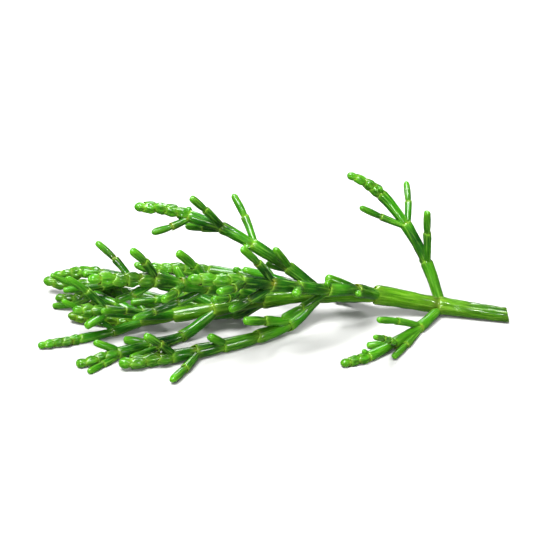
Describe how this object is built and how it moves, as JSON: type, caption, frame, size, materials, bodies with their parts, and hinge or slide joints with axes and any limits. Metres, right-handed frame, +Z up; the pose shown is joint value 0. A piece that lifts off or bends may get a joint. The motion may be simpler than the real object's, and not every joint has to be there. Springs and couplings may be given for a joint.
{
  "type": "samphire sprig",
  "caption": "Cut sprig of marsh samphire lying on a surface: a fleshy jointed main stem with paired side shoots, branchlets and knobbly spikes.",
  "frame": {"origin": "middle of the sprig's box, on the surface that it lies on", "axes": "+X towards the cut end of the stem, +Z up, the sprig grows towards -X"},
  "size_m": [0.1312, 0.063, 0.0357],
  "materials": {
    "stem_green": "moist, satin olive green flesh, paler at the joints and at the cut end",
    "shoot_green": "moist, glossy bright green flesh, yellower at the joints and tips"
  },
  "bodies": {
    "root": {"main_stem": "stem_green", "side_shoot_01": "shoot_green", "side_shoot_02": "shoot_green", "side_shoot_03": "shoot_green", "side_shoot_04": "shoot_green", "side_shoot_05": "shoot_green", "side_shoot_06": "shoot_green", "side_shoot_07": "shoot_green", "side_shoot_08": "shoot_green", "side_shoot_09": "shoot_green", "side_shoot_10": "shoot_green", "side_shoot_11": "shoot_green", "side_shoot_12": "shoot_green", "side_shoot_13": "shoot_green", "side_shoot_14": "shoot_green"}
  },
  "joints": []
}
